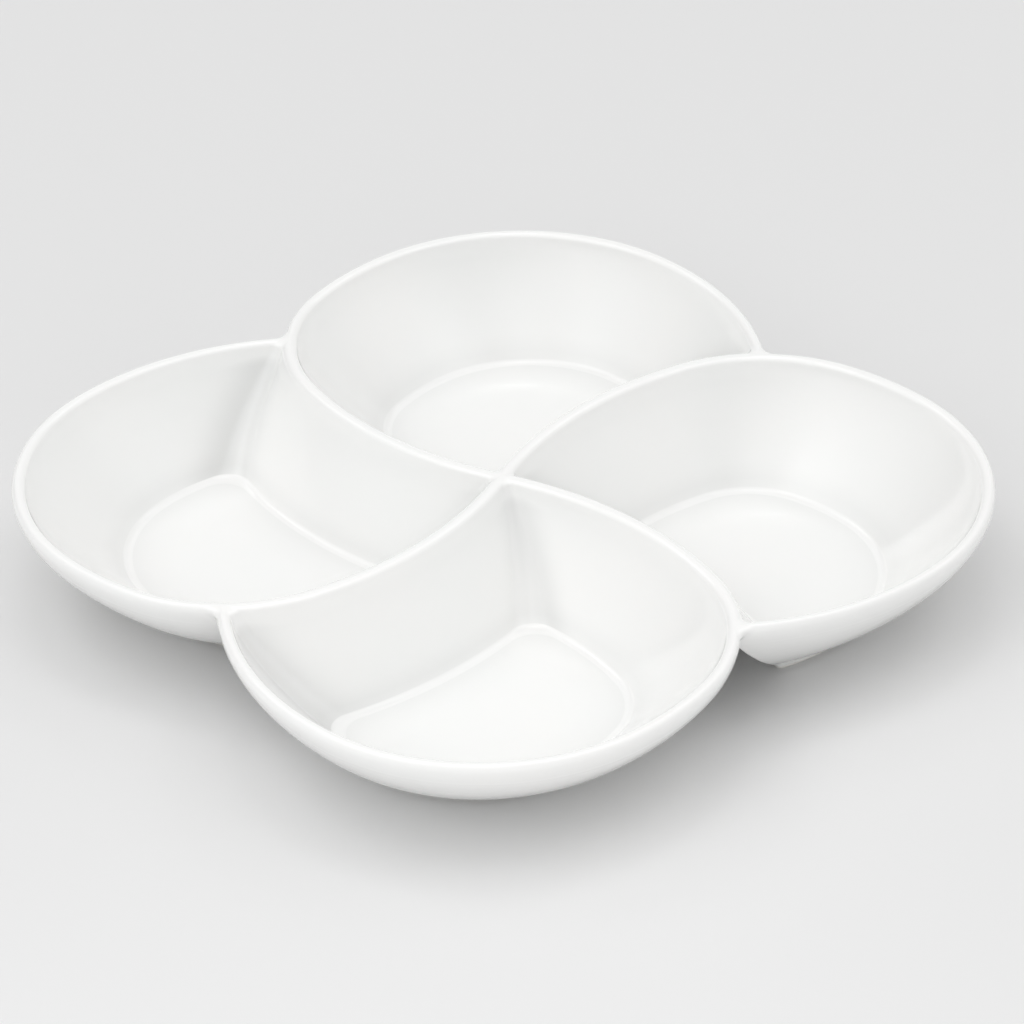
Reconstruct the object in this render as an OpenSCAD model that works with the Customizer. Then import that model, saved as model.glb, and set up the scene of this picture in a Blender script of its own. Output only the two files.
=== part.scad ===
// Divided serving bowl: four comma-shaped basins swirling round one axis, each on its own foot ring.
// The rim of a basin leaves the axis as a divider, turns round its lobe and ends on the next divider.
// Units are millimetres. +Z is up, Z = 0 is the table, and the origin lies on the axis of the swirl.

/* [Rim seen from above] */
// direction in which the front rim leaves the axis, degrees from +X
rim_heading = -23; // [-30:0.5:-16]
// radius of the divider stretch
divider_r = 123; // [113:1:133]
// degrees turned along the divider stretch
divider_turn = 39.5; // [36.5:0.5:42.5]
// radius of the shoulder that turns the divider into the lobe
shoulder_r = 54; // [50:0.5:58]
// degrees turned round the shoulder
shoulder_turn = 60; // [56:0.5:64]
// radius of the flank between shoulder and nose
flank_r = 93.5; // [84:0.5:103]
// degrees turned along the flank
flank_turn = 19; // [16:0.5:22]
// radius of the nose, the outermost stretch
nose_r = 70; // [66:0.5:74]
// degrees turned round the nose
nose_turn = 81; // [76:0.5:86]
// radius of the stretch that returns to the next divider
return_r = 94; // [88:0.5:100]

/* [Basin] */
// depth inside, from rim to floor
depth = 31.8; // [27:0.2:36]
// width of the rounded rim
rim_w = 3; // [2.4:0.1:3.4]
// thickness of the wall
wall = 3; // [2.4:0.1:3.4]
// thickness of the floor
floor_t = 3.2; // [2.6:0.1:5]
// distance the foot of the wall lies inside the rim
floor_inset = 26.2; // [23.2:0.2:29.2]
// sideways shift of the floor under its rim, toward the return stretch
floor_shift = 3; // [1:0.1:5]
// shift of the floor toward the axis
floor_draw = 4.4; // [3:0.1:6]
// rise of the hollow edge from the floor to the foot of the wall
floor_rise = 0.9; // [0.5:0.1:1.6]
// radius of the corners at the foot of the wall
corner_r = 7; // [5:0.5:9]
// outward bulge of the inside of the wall between rim and floor
bulge = 0.7; // [0.4:0.1:1.5]
// outward bulge of the belly, the outside of the wall
belly = 2.9; // [2:0.1:4]
// radius of the corners where two rims meet
tip_r = 0.5; // [0.4:0.05:0.7]

/* [Foot] */
// height of the foot ring
foot_h = 2.2; // [1.5:0.1:4]
// width of the foot ring
foot_w = 3.4; // [2.4:0.1:4.5]
// width of the bevel from the wall to the flat underside
heel_w = 1; // [0.6:0.1:2]
// shift of the underside and the foot ring toward the axis
foot_draw = 6.4; // [4:0.1:7]
// step from the edge of the underside to the foot ring
foot_step = 1.5; // [0.5:0.1:2.5]
// radius of the corners of the foot ring
foot_corner_r = 4; // [2:0.5:6]

/* [Hidden] */
radii = [divider_r, shoulder_r, flank_r, nose_r, return_r];
turns = [divider_turn, shoulder_turn, flank_turn, nose_turn, 90];
last_arc = len(radii) - 1;
// length of the ramp where a rim leaves the notch
ramp_len = 1.2;
// power by which the shift grows from the rim to the floor
shift_ease = 1.4;
// facets along a divider, round a lobe, round a corner, up a wall, over the rim and up the floor's edge
n_div = 17;
n_lobe = 38;
n_corner = 4;
n_wall = 6;
n_rim = 4;
n_hollow = 3;
under_z = foot_h;
floor_z = under_z + floor_t;
rim_z = floor_z + depth;

// A rim is a chain of tangent arcs. A point on it is named by p, the degrees it has turned so far,
// and by its inset t, measured toward the inside of the basin.
function unit(a) = [cos(a), sin(a)];
function quarter(v) = [-v.y, v.x];
function mix(a, b, f) = a + (b - a) * f;
function turned(i) = i == 0 ? 0 : turned(i - 1) + turns[i - 1];
function normal(p) = unit(rim_heading + 90 - p);
function centre(i) = i == 0
    ? -radii[0] * normal(0)
    : centre(i - 1) + (radii[i - 1] - radii[i]) * normal(turned(i));
centres = [for (i = [0 : last_arc]) centre(i)];
function arc_at(p, i = 0) = i == last_arc || p < turned(i + 1) ? i : arc_at(p, i + 1);
function rim(p, t) = centres[arc_at(p)] + (radii[arc_at(p)] - t) * normal(p);

// Where a point outside the rim lies against it: [degrees turned, distance].
function wrap(a) = a < -90 ? a + 360 : a > 270 ? a - 360 : a;
function against(v, i = 0) =
    let (d = v - centres[i], p = wrap(rim_heading + 90 - atan2(d.y, d.x)))
    i == last_arc || p < turned(i + 1) ? [p, norm(d) - radii[i]] : against(v, i + 1);

// The next rim is this one turned a quarter clockwise.
function next_rim(p, t) = -quarter(rim(p, t));
function against_next(v) = against(quarter(v));

// Halving search for the p at which a corner of radius r touches both rims.
function clear(p, own, next, r) = against_next(rim(p, own + r))[1] - next - r;
function search(lo, hi, own, next, r, n = 32) =
    let (m = (lo + hi) / 2)
    n == 0 ? m
    : clear(m, own, next, r) > 0 ? search(lo, m, own, next, r, n - 1)
    : search(m, hi, own, next, r, n - 1);

// How far round the next rim this one ends, measured at its outer edge.
notch_p = against_next(rim(search(320, turned(3), -rim_w / 2, 0, 0), -rim_w / 2))[0];
ramp_p = notch_p + ramp_len / shoulder_r * 180 / PI;

// Closed outline of the front basin at inset t, clockwise, with corners that open up to round_r,
// and drawn toward the axis. Dividers are shared, so there t stays above 0.
function corner(c, r, a, b) = [for (k = [1 : n_corner - 1]) c + r * unit(mix(a, b, k / n_corner))];
function outline(t, draw, round_r = corner_r) =
    let (s = max(t, 0),
         r = max(tip_r, round_r * s / floor_inset),
         shift = [-floor_shift, draw] * pow(min(s / floor_inset, 1), shift_ease),
         p0 = search(0, turned(2), s, s, r),
         p1 = search(320, turned(3), t, s, r),
         c0 = rim(p0, s + r),
         c1 = rim(p1, t + r),
         q0 = against_next(c0)[0],
         q1 = against_next(c1)[0],
         far = t > 0 ? q1 : notch_p,
         own_a = rim_heading + 90,
         next_a = rim_heading + 180)
    [for (v = concat(
        [for (k = [0 : n_div]) rim(mix(p0, notch_p, k / n_div), s)],
        [for (k = [0 : n_lobe]) rim(mix(ramp_p, p1, k / n_lobe), t)],
        corner(c1, r, own_a - p1, next_a - q1 - 360),
        [next_rim(q1, -s)],
        [for (k = [n_div - 1 : -1 : 0]) next_rim(mix(q0, far, k / n_div), -s)],
        corner(c0, r, next_a - q0, own_a - p0)))
     v + shift];

// Wall section as [inset, depth below the rim]: inside, an arc from the rim edge to the foot of the wall,
// then a hollow edge that runs out flat into the floor. Outside, an arc of its own down to the heel.
chord = [floor_inset, depth - floor_rise] - [rim_w, rim_w] / 2;
function arc_r(b) = (chord * chord / 4 + b * b) / (2 * b);
function half_a(b) = asin(norm(chord) / 2 / arc_r(b));
function steep_a(b) = atan2(chord.y, chord.x) + half_a(b);
function flat_a(b) = atan2(chord.y, chord.x) - half_a(b);
function outward(a) = [-sin(a), cos(a)];
function skin(f, b, extra) = [rim_w, rim_w] / 2 - arc_r(b) * outward(steep_a(b))
    + (arc_r(b) + extra) * outward(mix(steep_a(b), flat_a(b), f));
hollow_r = floor_rise / (1 - cos(flat_a(bulge)));
hollow_c = skin(1, bulge, 0) - hollow_r * outward(flat_a(bulge));
function hollow(f) = hollow_c + hollow_r * outward(flat_a(bulge) * f);
function rim_top(f) = [0, rim_w / 2] + rim_w / 2 * [cos(180 * f), -sin(180 * f)];
under_inset = skin(1, belly, wall).x + heel_w;
inside = concat(
    [for (k = [0 : n_hollow - 1]) hollow(k / n_hollow)],
    [for (k = [n_wall : -1 : 0]) skin(k / n_wall, bulge, 0)],
    [for (k = [1 : n_rim]) rim_top(k / n_rim)]);
outside = concat(
    [for (k = [0 : n_wall]) skin(k / n_wall, belly, wall)],
    [[under_inset, depth + floor_t]]);

// Solid through stacked rings of equal length, closed by its first and last ring.
module loft(rings) {
    n = len(rings[0]);
    m = len(rings);
    sides = [for (j = [0 : m - 2])
        for (i = [0 : n - 1])
            for (f = [[j * n + i, (j + 1) * n + i, (j + 1) * n + (i + 1) % n],
                      [j * n + i, (j + 1) * n + (i + 1) % n, j * n + (i + 1) % n]])
                f];
    first = [[for (i = [0 : n - 1]) i]];
    last = [[for (i = [n - 1 : -1 : 0]) (m - 1) * n + i]];
    polyhedron([for (r = rings) each r], concat(sides, first, last), convexity = 8);
}

module basin() {
    color("white")
        loft(concat(
            [for (s = inside) [for (v = outline(s.x, floor_draw)) [v.x, v.y, rim_z - s.y]]],
            [for (s = outside) [for (v = outline(s.x, foot_draw)) [v.x, v.y, rim_z - s.y]]]));
}

module foot() {
    color("linen")
        linear_extrude(foot_h)
            difference() {
                polygon(outline(under_inset + foot_step, foot_draw, foot_corner_r));
                polygon(outline(under_inset + foot_step + foot_w, foot_draw, foot_corner_r));
            }
}

module basin_front() {
    basin();
}

module basin_left() {
    rotate([0, 0, -90])
        basin();
}

module basin_back() {
    rotate([0, 0, 180])
        basin();
}

module basin_right() {
    rotate([0, 0, 90])
        basin();
}

module foot_front() {
    foot();
}

module foot_left() {
    rotate([0, 0, -90])
        foot();
}

module foot_back() {
    rotate([0, 0, 180])
        foot();
}

module foot_right() {
    rotate([0, 0, 90])
        foot();
}

basin_front();
basin_left();
basin_back();
basin_right();
foot_front();
foot_left();
foot_back();
foot_right();
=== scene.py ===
# %% [markdown]
# # A divided serving bowl in glazed porcelain
# The bowl is a low dish with four comma-shaped basins that swirl round one centre.
# A potter would cast it as one piece, dip it in clear glaze and leave only the foot rings bare.
# This lesson rebuilds it in cells: first the frame, then the line of the rims, then one basin,
# its turned copies, the feet, the two finishes, and last the floor, the light and the camera.

# %% Load the frame
import math

import bmesh
import bpy
from mathutils import Matrix, Vector


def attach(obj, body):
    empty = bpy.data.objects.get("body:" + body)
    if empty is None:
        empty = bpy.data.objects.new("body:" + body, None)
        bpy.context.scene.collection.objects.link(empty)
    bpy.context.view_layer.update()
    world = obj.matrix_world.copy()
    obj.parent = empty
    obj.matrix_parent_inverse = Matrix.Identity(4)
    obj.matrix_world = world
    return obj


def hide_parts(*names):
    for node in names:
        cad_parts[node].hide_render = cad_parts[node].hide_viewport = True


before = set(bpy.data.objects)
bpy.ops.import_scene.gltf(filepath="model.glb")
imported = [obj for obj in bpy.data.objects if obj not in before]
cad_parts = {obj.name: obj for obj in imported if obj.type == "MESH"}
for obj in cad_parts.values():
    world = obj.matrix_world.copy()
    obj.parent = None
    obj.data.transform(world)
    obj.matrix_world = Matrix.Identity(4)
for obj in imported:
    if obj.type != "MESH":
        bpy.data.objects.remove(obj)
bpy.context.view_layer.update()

# %% [markdown]
# ## The line of the rims
# Seen from above, a rim is one long curve: it leaves the centre as a divider, turns round its lobe
# and comes back to end on the next divider. Five arcs that run into each other without a kink describe it.
# A point on the rim is named by the degrees it has turned so far, so every other curve of the bowl
# can be drawn beside it at a chosen distance.

# %% Five tangent arcs
MM = 0.001
HEADING = math.radians(-23)
RADII = [r * MM for r in (123, 54, 93.5, 70, 94)]
TURNS = [math.radians(a) for a in (39.5, 60, 19, 81, 90)]
STARTS = [sum(TURNS[:i]) for i in range(5)]


def unit(angle):
    return Vector((math.cos(angle), math.sin(angle)))


def outward(p):
    return unit(HEADING + math.pi / 2 - p)


CENTRES = [-RADII[0] * outward(0)]
for i in range(1, 5):
    CENTRES.append(CENTRES[-1] + (RADII[i - 1] - RADII[i]) * outward(STARTS[i]))


def arc_of(p):
    return max(i for i in range(5) if i == 0 or p >= STARTS[i])


def rim(p, inset):
    i = arc_of(p)
    return CENTRES[i] + (RADII[i] - inset) * outward(p)


def next_rim(p, inset):
    v = rim(p, inset)
    return Vector((v.y, -v.x))


print("rim passes", [tuple(round(c / MM, 1) for c in rim(s, 0)) for s in STARTS], "mm")

# %% [markdown]
# ## Where two rims meet
# The inside corner between a rim and the next one is a fillet, a small arc that touches both curves.
# Its centre lies equally far from the two, and halving an interval finds it.
# The fillet starts as nothing on the crest and opens fast, as thick glaze fills a corner.


# %% Distances and fillets
def beside_next(v):
    w = Vector((-v.y, v.x))
    for i in range(5):
        d = w - CENTRES[i]
        p = HEADING + math.pi / 2 - math.atan2(d.y, d.x)
        if p < -math.pi / 2:
            p += 2 * math.pi
        if p > 1.5 * math.pi:
            p -= 2 * math.pi
        if i == 4 or p < STARTS[i + 1]:
            return p, d.length - RADII[i]


def meet(low, high, own, other):
    for _ in range(44):
        mid = (low + high) / 2
        if beside_next(rim(mid, own))[1] > other:
            high = mid
        else:
            low = mid
    return (low + high) / 2


NOTCH_SEARCH = (math.radians(320), STARTS[3])
AXIS_SEARCH = (0.0, STARTS[2])
END_P = meet(*NOTCH_SEARCH, 0, 0)
NOTCH_P = beside_next(rim(END_P, 0))[0]
print("a rim ends after", round(math.degrees(END_P), 1), "degrees,",
      "on the next one at", round(math.degrees(NOTCH_P), 1))

# %% [markdown]
# ## One closed outline
# A basin is a stack of closed outlines. Each runs along its own divider, round the lobe,
# round the notch corner, back along the next divider and round the corner at the centre,
# always with the same number of points.
# Inside the crest the outline keeps its distance to both rims. Outside the crest only the lobe moves out,
# and a fillet, wide at the top and narrow below, webs the notch between two lobes.

# %% The outline at one inset
FLOOR_INSET = 26.2 * MM
INSIDE_SHIFT, BELLY_SHIFT = Vector((-3 * MM, 4.4 * MM)), Vector((-3 * MM, 6.4 * MM))
TIP, NOOK = (2.4 * MM, 8 * MM), (3.2 * MM, 8 * MM)
BELLY_TIP, BELLY_NOOK = (2 * MM, 7 * MM), (1 * MM, 2 * MM)
FILLET_RUN, FILLET_MOST, SHIFT_EASE = 0.9 * MM, 1.2, 1.4
NOTCH_R, WEB_H, WEB_RUN, WEB_LEAST = 7.5 * MM, 5.5 * MM, 0.5 * MM, 0.15
N_DIV, N_RAMP, N_LOBE, N_CORNER = 64, 6, 150, 12
RAMP_TURN = math.radians(3.5)


def mix(a, b, f):
    return a + (b - a) * f


def between(a, b, f):
    turn = (b - a + math.pi) % (2 * math.pi) - math.pi
    return a + turn * f


def angle_of(v):
    return math.atan2(v.y, v.x)


def fillet(inset, start, end):
    opened = 1 - math.exp(-inset / FILLET_RUN)
    return start * opened + (end - start) * min(inset / FLOOR_INSET, FILLET_MOST)


def inner_outline(inset, tip=TIP, nook=NOOK, shift=INSIDE_SHIFT):
    r0, r1 = fillet(inset, *tip), fillet(inset, *nook)
    p0 = meet(*AXIS_SEARCH, inset + r0, inset + r0)
    p1 = meet(*NOTCH_SEARCH, inset + r1, inset + r1)
    c0, c1 = rim(p0, inset + r0), rim(p1, inset + r1)
    q0, q1 = beside_next(c0)[0], beside_next(c1)[0]
    own0, own1 = angle_of(rim(p0, inset) - c0), angle_of(rim(p1, inset) - c1)
    far0, far1 = angle_of(next_rim(q0, -inset) - c0), angle_of(next_rim(q1, -inset) - c1)
    points = [rim(mix(p0, NOTCH_P, k / N_DIV), inset) for k in range(N_DIV + 1)]
    points += [rim(NOTCH_P + RAMP_TURN * (k + 1) / (N_RAMP + 1), inset) for k in range(N_RAMP + 1)]
    points += [rim(mix(NOTCH_P + RAMP_TURN, p1, k / N_LOBE), inset) for k in range(1, N_LOBE + 1)]
    points += [c1 + r1 * unit(between(own1, far1, k / (N_CORNER + 1))) for k in range(1, N_CORNER + 1)]
    points += [next_rim(mix(q1, q0, k / N_DIV), -inset) for k in range(N_DIV + 1)]
    points += [c0 + r0 * unit(between(far0, own0, k / N_CORNER)) for k in range(1, N_CORNER)]
    moved = shift * min(inset / FLOOR_INSET, 1) ** SHIFT_EASE
    return [v + moved for v in points]


def outer_outline(reach, depth):
    r = NOTCH_R * max(1 - depth / WEB_H, WEB_LEAST) * (1 - math.exp(-reach / WEB_RUN))
    p1 = meet(*NOTCH_SEARCH, -reach - r, reach + r)
    hub = rim(p1, -reach - r)
    q1 = beside_next(hub)[0]
    own, far = angle_of(rim(p1, -reach) - hub), angle_of(next_rim(q1, -reach) - hub)
    hub_own = Vector((-hub.y, hub.x))
    points = [rim(mix(0, NOTCH_P, k / N_DIV), 0) for k in range(N_DIV + 1)]
    half_turns = [between(own, far, 0.5 + 0.5 * k / N_RAMP) for k in range(N_RAMP + 1)]
    points += [hub_own + r * unit(angle + math.pi / 2) for angle in half_turns]
    points += [rim(mix(q1, p1, k / N_LOBE), -reach) for k in range(1, N_LOBE + 1)]
    points += [hub + r * unit(between(own, far, 0.5 * k / N_CORNER)) for k in range(1, N_CORNER + 1)]
    points += [next_rim(mix(NOTCH_P, 0, k / N_DIV), 0) for k in range(N_DIV + 1)]
    points += [Vector((0, 0))] * (N_CORNER - 1)
    return points


COLUMNS = len(inner_outline(0.001))
print("columns", COLUMNS, len(outer_outline(0.001, 0)))

# %% [markdown]
# ## The section of the wall
# Cut through a wall and the clay shows as one strip: a flat floor, a small hollow edge,
# a wall that leans out and stands up steeply just under the rim, a round lip,
# and a full belly that rolls back down to the heel.
# Each row of the section says how far inside the rim it lies and how deep below it.
# The inside and the belly are Bezier curves, because their handles set the lean at both ends directly.

# %% Rows from the floor over the rim to the underside
RIM_Z, DEPTH, FLOOR_T, FOOT_H = 37.2 * MM, 31.8 * MM, 3.2 * MM, 2.2 * MM
INNER_LIP, OUTER_LIP = Vector((2.5 * MM, 1.8 * MM)), Vector((1.49 * MM, 2.2 * MM))
FLOOR_RISE = 0.9 * MM
COLLAR_LEAN, FOOT_LEAN, HEEL_LEAN = math.radians(76), math.radians(46.5), math.radians(33)
WALL_FOOT = Vector((FLOOR_INSET, DEPTH - FLOOR_RISE))
LIP_EDGE, HEEL_EDGE = Vector((-OUTER_LIP.x, OUTER_LIP.y)), Vector((24.5 * MM, 32.9 * MM))
HEEL = Vector((25.5 * MM, DEPTH + FLOOR_T))
COLLAR_HANDLE, FOOT_HANDLE = 5 * MM, 18 * MM
LIP_HANDLE, HEEL_HANDLE, HEEL_ROUND = 5.5 * MM, 18 * MM, 1.2 * MM


def bezier(points, f):
    while len(points) > 1:
        points = [mix(a, b, f) for a, b in zip(points, points[1:])]
    return points[0]


def over_rim(angle, lip):
    return Vector((lip.x * math.cos(angle), lip.y - lip.y * math.sin(angle)))


COLLAR_TURN = math.atan2(INNER_LIP.y, INNER_LIP.x * math.tan(COLLAR_LEAN))
COLLAR = over_rim(COLLAR_TURN, INNER_LIP)
INSIDE = [COLLAR, COLLAR + COLLAR_HANDLE * unit(COLLAR_LEAN),
          WALL_FOOT - FOOT_HANDLE * unit(FOOT_LEAN), WALL_FOOT]
BELLY = [LIP_EDGE, LIP_EDGE + Vector((0, LIP_HANDLE)), HEEL_EDGE - HEEL_HANDLE * unit(HEEL_LEAN), HEEL_EDGE]
HEEL_CURVE = [HEEL_EDGE, HEEL_EDGE + HEEL_ROUND * unit(HEEL_LEAN), HEEL]
HOLLOW_R = FLOOR_RISE / (1 - math.cos(FOOT_LEAN))
HOLLOW_HUB = WALL_FOOT + HOLLOW_R * Vector((math.sin(FOOT_LEAN), -math.cos(FOOT_LEAN)))
HOLLOW_ROWS, WALL_ROWS, LIP_ROWS, BELLY_ROWS, HEEL_STEPS = 7, 20, 4, 18, (0.33, 0.67, 1)
LIP_STEPS = (0, 0.13, 0.26, 0.4, 0.54, 0.68, 0.8, 0.9, 0.96)
FLOOR_ROWS = [14 * MM, 6 * MM, 1 * MM]
GROOVE_STEP = 0.02 * MM


def hollow(angle):
    return HOLLOW_HUB + HOLLOW_R * Vector((-math.sin(angle), math.cos(angle)))


rows = [hollow(0) + Vector((further, 0)) for further in FLOOR_ROWS]
rows += [hollow(FOOT_LEAN * k / HOLLOW_ROWS) for k in range(HOLLOW_ROWS)]
rows += [bezier(INSIDE, 1 - k / WALL_ROWS) for k in range(WALL_ROWS)]
rows += [over_rim(mix(COLLAR_TURN, math.pi / 2, f), INNER_LIP) for f in LIP_STEPS]
CREST_ROW = len(rows)
rows += [over_rim(math.pi / 2, INNER_LIP)]
rows += [over_rim(mix(math.pi, math.pi / 2, f), OUTER_LIP) for f in reversed(LIP_STEPS)]
cross = next(k / 4000 for k in range(4000) if bezier(BELLY, k / 4000).x > 0)
rows += [bezier(BELLY, cross * k / LIP_ROWS) for k in range(1, LIP_ROWS + 1)]
GROOVE_ROW = len(rows)
rows += [bezier(BELLY, cross) + Vector((GROOVE_STEP, 0))]
rows += [bezier(BELLY, mix(cross, 1, k / BELLY_ROWS)) for k in range(1, BELLY_ROWS + 1)]
rows += [bezier(HEEL_CURVE, f) for f in HEEL_STEPS]
print("rows", len(rows), "crest", CREST_ROW, "groove", GROOVE_ROW)
print("hollow radius", round(HOLLOW_R / MM, 2), "mm")

# %% [markdown]
# ## One basin from one ring
# The basin starts as a filled circle inside the floor. Extruding its edge makes the next ring,
# which is slid to its place, and so on up the wall, over the rim and down outside.
# Filling the last ring closes the underside.


# %% Tools for rings
def slide(ring, points, z):
    for vert, point in zip(ring, points):
        vert.co = (point.x, point.y, z)


def loop_edges(bm, ring):
    return [bm.edges.get((a, b)) for a, b in zip(ring, ring[1:] + ring[:1])]


def raise_ring(bm, ring):
    made = bmesh.ops.extrude_edge_only(bm, edges=loop_edges(bm, ring))["geom"]
    fresh = {v for v in made if isinstance(v, bmesh.types.BMVert)}
    return [next(e.other_vert(v) for e in v.link_edges if e.other_vert(v) in fresh) for v in ring]


def outline_of(row, section):
    if CREST_ROW <= row < GROOVE_ROW:
        return outer_outline(max(-section.x, 1e-9), section.y)
    if row < CREST_ROW:
        return inner_outline(section.x)
    return inner_outline(section.x, BELLY_TIP, BELLY_NOOK, BELLY_SHIFT)


print("rings of", COLUMNS, "points")

# %% [markdown]
# ## Painted light and shade in the white
# Each ring notes, at each point, a value from 0 to 1 that greys the white of the glaze in place of light
# and shade.
# It is 0, a painted highlight, on the rim and the hollow edge. Walls get a middle value and floors a little
# more, with painted shade at the foot of the wall inside, near the heel outside and on the floor beside the
# wall, and the darkest painted shade in the creases beside the two corners of a basin.

# %% Values of the painted light and shade
# Floor values deepen towards the wall as painted shade; the wall value gives the middle white.
FLOOR_SHADES = (0.38, 0.42, 0.48)
WALL_SHADE, BASE_SHADE, NOOK_SHADE, TIP_SHADE = 0.35, 0.1, 0.38, 0.32
RIM_FADE, FOOT_BAND, NOOK_BAND, TIP_BAND = 4 * MM, 3 * MM, 9 * MM, 6 * MM
SHADED_BASE_POINT = bezier(INSIDE, 0.95)
NOOK_COLUMN, TIP_COLUMN = N_DIV + N_RAMP + N_LOBE + 1, 0


def near(point, place, band):
    return math.exp(-((point - place).length / band) ** 2)


def painted_shading(row, points):
    # Floor rows: painted shade, darkest next to the wall foot.
    if row < len(FLOOR_ROWS):
        return [FLOOR_SHADES[row]] * COLUMNS
    # The hollow edge: painted highlight, the whitest value.
    if row < len(FLOOR_ROWS) + HOLLOW_ROWS:
        return [0.0] * COLUMNS
    section = rows[row]
    # The value fades to nothing towards the rim: a painted highlight on the rim and lip.
    rise = min(max((section.y - INNER_LIP.y) / RIM_FADE, 0), 1)
    # A band of painted shade at the wall foot inside and near the heel outside.
    foot = near(section, SHADED_BASE_POINT if row < CREST_ROW else HEEL, FOOT_BAND)
    shade_values = [rise * (WALL_SHADE + BASE_SHADE * foot)] * COLUMNS
    # Painted shade in the creases beside the notch corner and the centre corner.
    if row < CREST_ROW:
        for column, point in enumerate(points):
            shade_values[column] += rise * NOOK_SHADE * near(point, points[NOOK_COLUMN], NOOK_BAND)
            shade_values[column] += rise * TIP_SHADE * near(point, points[TIP_COLUMN], TIP_BAND)
    return [min(depth, 1) for depth in shade_values]


print("darkest painted shade", round(WALL_SHADE + BASE_SHADE + NOOK_SHADE, 2))

# %% [markdown]
# ## Raising the basin
# Now the rings are raised in order, and each takes its painted light and shade along.
# Points that fall together on the axis are merged, and the normals are turned outward.

# %% Raise the front basin
MERGE = 0.002 * MM
bm = bmesh.new()
shading_layer = bm.verts.layers.float.new("painted_shading")
ring = bmesh.ops.create_circle(bm, cap_ends=True, segments=COLUMNS, radius=0.05)["verts"]
for row, section in enumerate(rows):
    if row > 0:
        ring = raise_ring(bm, ring)
    points = outline_of(row, section)
    slide(ring, points, RIM_Z - section.y)
    # Here depth is the painted shading value of each point, 0 for painted highlight up to 1 for the darkest
    # painted shade.
    for vert, depth in zip(ring, painted_shading(row, points)):
        vert[shading_layer] = depth
bmesh.ops.edgeloop_fill(bm, edges=loop_edges(bm, ring))
bmesh.ops.remove_doubles(bm, verts=bm.verts, dist=MERGE)
bmesh.ops.recalc_face_normals(bm, faces=bm.faces)
print("basin: faces", len(bm.faces), "open edges", sum(not e.is_manifold for e in bm.edges))

# %% [markdown]
# ## Four basins, each a quarter turn on
# The basins are alike, so one mesh is turned about the centre for each place round the swirl.
# Where two basins meet, on the crest of a divider, both skins run level, so the join doesn't show.

# %% Turn the basins into place
SIDES = {"front": 0, "left": -90, "back": 180, "right": 90}
SHARP_EDGE = math.radians(38)


def finish_piece(source, name, turn, node):
    mesh = bpy.data.meshes.new(name)
    copy = source.copy()
    quarter = Matrix.Rotation(math.radians(turn), 3, "Z")
    bmesh.ops.rotate(copy, verts=copy.verts, cent=(0, 0, 0), matrix=quarter)
    copy.to_mesh(mesh)
    copy.free()
    for face in mesh.polygons:
        face.use_smooth = True
    mesh.set_sharp_from_angle(angle=SHARP_EDGE)
    piece = bpy.data.objects.new(name, mesh)
    bpy.context.scene.collection.objects.link(piece)
    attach(piece, "root")
    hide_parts(node)
    return piece


basins = [finish_piece(bm, "glazed_basin_" + side, turn, "basin_" + side)
          for side, turn in SIDES.items()]
bm.free()
print("basins", [len(b.data.polygons) for b in basins])

# %% [markdown]
# ## The foot rings
# Each basin stands on a low ring of bare porcelain, wiped clean before firing
# so that it wouldn't stick to the kiln shelf. The ring follows the outline of the underside.
# Its outer side flares a little from a neck under the heel, so it catches light where it peeps out.
# Its profile is raised ring by ring like the basin, and a bevel takes the sharpness off the edges.

# %% Raise the foot
FOOT_STEP, FOOT_W, NECK, FLARE_Z, GROUND_BEVEL = 1.5 * MM, 3.4 * MM, 0.9 * MM, 0.9 * MM, 0.5 * MM
FOOT_TIP, FOOT_NOOK = (2 * MM, 4 * MM), (1 * MM, 2 * MM)
FOOT_INSET = HEEL.x + FOOT_STEP
profile = [(FOOT_INSET + NECK, FOOT_H), (FOOT_INSET, FLARE_Z), (FOOT_INSET, 0)]
profile += [(FOOT_INSET + FOOT_W, 0), (FOOT_INSET + FOOT_W, FOOT_H)]
bm = bmesh.new()
ring = first = bmesh.ops.create_circle(bm, cap_ends=False, segments=COLUMNS, radius=0.05)["verts"]
for step, (inset, z) in enumerate(profile):
    if step > 0:
        ring = raise_ring(bm, ring)
    slide(ring, inner_outline(inset, FOOT_TIP, FOOT_NOOK, BELLY_SHIFT), z)
bmesh.ops.bridge_loops(bm, edges=loop_edges(bm, ring) + loop_edges(bm, first))
ground = [e for e in bm.edges if all(abs(v.co.z) < 1e-7 for v in e.verts) and e.calc_face_angle(0) > 1]
bmesh.ops.bevel(bm, geom=ground, offset=GROUND_BEVEL, segments=4, profile=0.5, affect="EDGES", material=-1)
bmesh.ops.recalc_face_normals(bm, faces=bm.faces)
feet = [finish_piece(bm, "bare_foot_" + side, turn, "foot_" + side)
        for side, turn in SIDES.items()]
bm.free()
print("feet", [len(f.data.polygons) for f in feet])

# %% [markdown]
# ## The glaze
# Clear glaze over white porcelain is smooth and glossy, but not perfect. Its white also carries painted
# light and shade:
# the rims and hollow edges are whitest as a painted highlight, and the walls, wall feet and creases are
# greyer as painted shade.
# The rings of the basin carry that painted shading as an attribute, so the white follows the surface.
# Noise on Object coordinates lets the white drift between warm and cool, varies the gloss
# and adds a faint orange-peel swell.


# %% Tools for node materials
def new_material(name):
    mat = bpy.data.materials.new(name)
    mat.use_nodes = True
    nodes, links = mat.node_tree.nodes, mat.node_tree.links
    shader = nodes["Principled BSDF"]
    coords = nodes.new("ShaderNodeTexCoord")
    return mat, nodes, links, shader, coords


def noise(nodes, links, coords, scale, detail, roughness=0.5):
    tex = nodes.new("ShaderNodeTexNoise")
    tex.inputs["Scale"].default_value = scale
    tex.inputs["Detail"].default_value = detail
    tex.inputs["Roughness"].default_value = roughness
    links.new(coords.outputs["Object"], tex.inputs["Vector"])
    return tex


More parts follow.
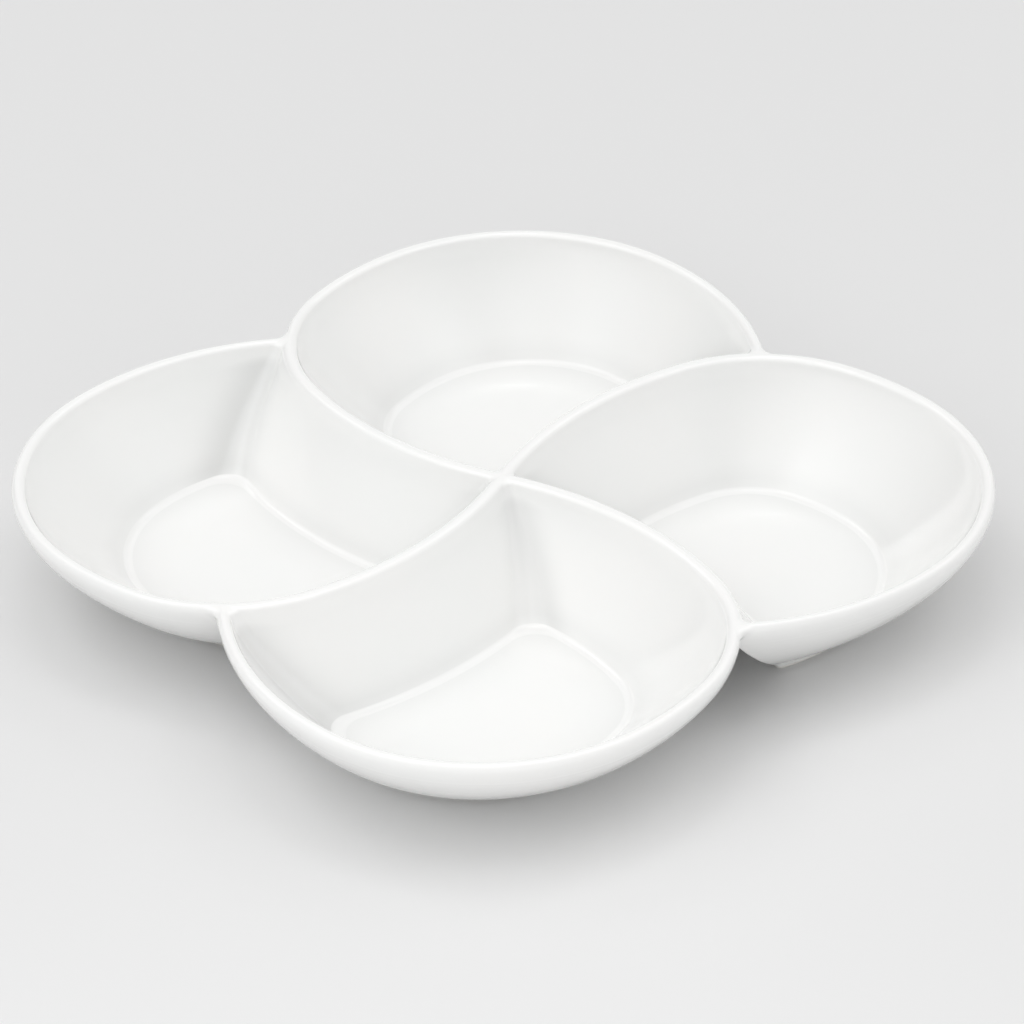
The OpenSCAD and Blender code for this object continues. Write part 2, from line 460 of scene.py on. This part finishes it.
def ramp(nodes, links, source, stops):
    node = nodes.new("ShaderNodeValToRGB")
    links.new(source, node.inputs["Fac"])
    while len(node.color_ramp.elements) < len(stops):
        node.color_ramp.elements.new(0.5)
    for element, (place, colour) in zip(node.color_ramp.elements, stops):
        element.position = place
        element.color = (*colour, 1)
    return node


print("node tools ready")

# %% White of the glaze, with painted highlight and painted shade
# From a painted-highlight white through the wall white to a painted-shade grey.
HIGHLIGHT_WHITE, WALL_WHITE, SHADE_GREY = (0.98, 0.98, 0.975), (0.955, 0.956, 0.95), (0.74, 0.745, 0.74)
COOL, WARM = (0.985, 0.99, 0.985), (1, 0.997, 0.99)
glaze, nodes, links, shader, coords = new_material("clear_glaze_on_white")
# The attribute holds the painted light and shade; the ramp turns it into white to grey.
depth = nodes.new("ShaderNodeAttribute")
depth.attribute_name = "painted_shading"
shading_ramp = ramp(nodes, links, depth.outputs["Fac"], [(0, HIGHLIGHT_WHITE), (WALL_SHADE, WALL_WHITE), (1, SHADE_GREY)])
drift = noise(nodes, links, coords, 22, 3)
tint = ramp(nodes, links, drift.outputs["Fac"], [(0.3, COOL), (0.7, WARM)])
white = nodes.new("ShaderNodeMix")
white.data_type, white.blend_type = "RGBA", "MULTIPLY"
white.inputs["Factor"].default_value = 1
links.new(shading_ramp.outputs["Color"], white.inputs["A"])
links.new(tint.outputs["Color"], white.inputs["B"])
links.new(white.outputs["Result"], shader.inputs["Base Color"])
print("whites from painted highlight to painted shade:", HIGHLIGHT_WHITE[0], WALL_WHITE[0], SHADE_GREY[0])

# %% Gloss and swell of the glaze
gloss = noise(nodes, links, coords, 60, 4)
gloss_range = nodes.new("ShaderNodeMapRange")
gloss_range.inputs["To Min"].default_value = 0.07
gloss_range.inputs["To Max"].default_value = 0.15
links.new(gloss.outputs["Fac"], gloss_range.inputs["Value"])
links.new(gloss_range.outputs["Result"], shader.inputs["Roughness"])
peel = noise(nodes, links, coords, 420, 2)
peel_bump = nodes.new("ShaderNodeBump")
peel_bump.inputs["Strength"].default_value = 0.06
peel_bump.inputs["Distance"].default_value = 0.0004
links.new(peel.outputs["Fac"], peel_bump.inputs["Height"])
links.new(peel_bump.outputs["Normal"], shader.inputs["Normal"])
shader.inputs["IOR"].default_value = 1.5
shader.inputs["Coat Weight"].default_value = 0.4
shader.inputs["Coat Roughness"].default_value = 0.04
for basin in basins:
    basin.data.materials.append(glaze)
print("glaze on", len(basins), "basins")

# %% [markdown]
# ## The bare foot
# Unglazed porcelain is matt and a touch creamier. Handling polishes it in patches, so its roughness varies.

# %% Bare porcelain
bare, nodes, links, shader, coords = new_material("bare_porcelain")
grain = noise(nodes, links, coords, 900, 5, 0.65)
DARK_CREAM, PALE_CREAM = (0.84, 0.825, 0.785), (0.91, 0.897, 0.865)
cream = ramp(nodes, links, grain.outputs["Fac"], [(0.3, DARK_CREAM), (0.62, PALE_CREAM)])
links.new(cream.outputs["Color"], shader.inputs["Base Color"])
rub = noise(nodes, links, coords, 120, 3)
rub_range = nodes.new("ShaderNodeMapRange")
rub_range.inputs["To Min"].default_value = 0.62
rub_range.inputs["To Max"].default_value = 0.9
links.new(rub.outputs["Fac"], rub_range.inputs["Value"])
links.new(rub_range.outputs["Result"], shader.inputs["Roughness"])
grain_bump = nodes.new("ShaderNodeBump")
grain_bump.inputs["Strength"].default_value = 0.25
grain_bump.inputs["Distance"].default_value = 0.0002
links.new(grain.outputs["Fac"], grain_bump.inputs["Height"])
links.new(grain_bump.outputs["Normal"], shader.inputs["Normal"])
for foot in feet:
    foot.data.materials.append(bare)
print("bare porcelain on", len(feet), "feet")

# %% [markdown]
# ## The floor
# The bowl stands on a plain pale floor. It is matt, so that it takes the soft shadow under the bowl
# and throws a little light back on the belly.

# %% Floor
FLOOR_REACH = 30
floor_mesh = bpy.data.meshes.new("studio_floor")
bm = bmesh.new()
bmesh.ops.create_grid(bm, x_segments=1, y_segments=1, size=FLOOR_REACH)
bm.to_mesh(floor_mesh)
bm.free()
studio_floor = bpy.data.objects.new("studio_floor", floor_mesh)
bpy.context.scene.collection.objects.link(studio_floor)
floor_mat, nodes, links, shader, coords = new_material("pale_floor")
shader.inputs["Base Color"].default_value = (0.8, 0.8, 0.8, 1)
shader.inputs["Roughness"].default_value = 0.9
shader.inputs["Specular IOR Level"].default_value = 0.1
floor_mesh.materials.append(floor_mat)
print("floor reaches", FLOOR_REACH, "m each way")

# %% [markdown]
# ## A tent of soft light
# White ware is photographed in a tent of white cloth, lit from outside, so that the glaze mirrors
# only soft light. Here the world is the tent. Each panel is a glow round one direction,
# which fades faster the sharper it is, and a pale hem closes the tent at the horizon.
# Where the panels differ, the walls that face them differ too, and that shows their shape.

# %% Panels
PANELS = {  # degrees round from the front, degrees up, strength, sharpness
    "front low": (0, 10, 0.55, 10),
    "front right low": (45, 10, 0.6, 10),
    "right low": (90, 10, 0.4, 10),
    "back right low": (135, 10, 0.6, 10),
    "back low": (180, 10, 0.4, 10),
    "left low": (270, 10, 0.25, 10),
    "right": (90, 42, 0.7, 8),
    "back": (180, 42, 0.6, 8),
    "left": (270, 42, 0.5, 8),
    "front left": (315, 42, 1, 8),
    "front high": (0, 66, 0.5, 30),
    "back right high": (135, 48, 1.6, 60),
    "back left high": (225, 48, 1.9, 60),
    "back top": (180, 74, 4, 150),
    "right high": (90, 66, 1.6, 30),
    "left high": (270, 66, 2.1, 30),
    "front top": (0, 75, 0.5, 60),
    "top": (0, 90, 0.7, 15),
}
HEM, HEM_SHARPNESS, TENT_LEVEL = 0.6, 6, 0.97
world = bpy.data.worlds.new("light_tent")
bpy.context.scene.world = world
world.use_nodes = True
nodes, links = world.node_tree.nodes, world.node_tree.links


def math_node(operation, first, second):
    node = nodes.new("ShaderNodeMath")
    node.operation = operation
    for socket, value in zip(node.inputs, (first, second)):
        if isinstance(value, (int, float)):
            socket.default_value = value
        else:
            links.new(value, socket)
    return node.outputs[0]


heading = nodes.new("ShaderNodeTexCoord").outputs["Generated"]
height = nodes.new("ShaderNodeSeparateXYZ")
links.new(heading, height.inputs["Vector"])
level = math_node("SUBTRACT", 1, math_node("ABSOLUTE", height.outputs["Z"], 0))
glow = math_node("MULTIPLY", math_node("POWER", level, HEM_SHARPNESS), HEM)
for name, (round_by, up_by, strength, sharpness) in PANELS.items():
    a, e = math.radians(round_by), math.radians(up_by)
    toward = nodes.new("ShaderNodeVectorMath")
    toward.operation = "DOT_PRODUCT"
    links.new(heading, toward.inputs[0])
    toward.inputs[1].default_value = (math.sin(a) * math.cos(e), -math.cos(a) * math.cos(e), math.sin(e))
    soft = math_node("POWER", math_node("MAXIMUM", toward.outputs["Value"], 0), sharpness)
    glow = math_node("ADD", math_node("MULTIPLY", soft, strength), glow)
links.new(glow, nodes["Background"].inputs["Color"])
nodes["Background"].inputs["Strength"].default_value = TENT_LEVEL
print("light tent of", len(PANELS), "soft panels")

# %% [markdown]
# ## Two weak lamps close by
# The tent is far away, so it lights all four basins alike. Two weak lamps stand close to the front basin,
# and because light falls off with distance, that basin gains most from them.
# They are kept out of the mirror images in the glaze.

# %% Lamps
LAMPS = {  # place in metres, power in watts
    "front lamp": (0, -0.5, 0.25, 0.22),
    "front left lamp": (-0.35, -0.42, 0.42, 0.2),
}
LAMP_SIZE, LAMP_AIM = 0.25, Vector((0, -0.06, 0))
for name, (x, y, z, power) in LAMPS.items():
    lamp_data = bpy.data.lights.new(name, "AREA")
    lamp_data.size = LAMP_SIZE
    lamp_data.energy = power
    lamp = bpy.data.objects.new(name, lamp_data)
    bpy.context.scene.collection.objects.link(lamp)
    lamp.location = (x, y, z)
    lamp.rotation_euler = (LAMP_AIM - lamp.location).to_track_quat("-Z", "Y").to_euler()
    lamp.visible_camera = lamp.visible_glossy = False
print("lamps", {name: power for name, (x, y, z, power) in LAMPS.items()}, "watts")

# %% [markdown]
# ## The camera
# The camera looks down at a third of a right angle through a long lens, as a catalogue photographer would,
# so the near basins look hardly larger than the far ones.

# %% Camera
AIM, DISTANCE = Vector((0, 0, RIM_Z)), 1.4472
ELEVATION, ROLL = math.radians(32.957), math.radians(1.195)
camera_data = bpy.data.cameras.new("camera")
camera_data.sensor_width = 36
camera_data.lens = 166.64
camera_data.shift_x = 0.0103
camera_data.shift_y = -0.0363
camera_data.clip_start = 0.05
camera = bpy.data.objects.new("camera", camera_data)
bpy.context.scene.collection.objects.link(camera)
camera.location = AIM + DISTANCE * Vector((0, -math.cos(ELEVATION), math.sin(ELEVATION)))
tilt = Matrix.Rotation(math.pi / 2 - ELEVATION, 4, "X")
camera.rotation_euler = (tilt @ Matrix.Rotation(-ROLL, 4, "Z")).to_euler()
bpy.context.scene.camera = camera
bpy.context.scene.view_settings.view_transform = "Standard"
print("camera", round(DISTANCE, 2), "m away, looking down", round(math.degrees(ELEVATION), 1), "degrees")
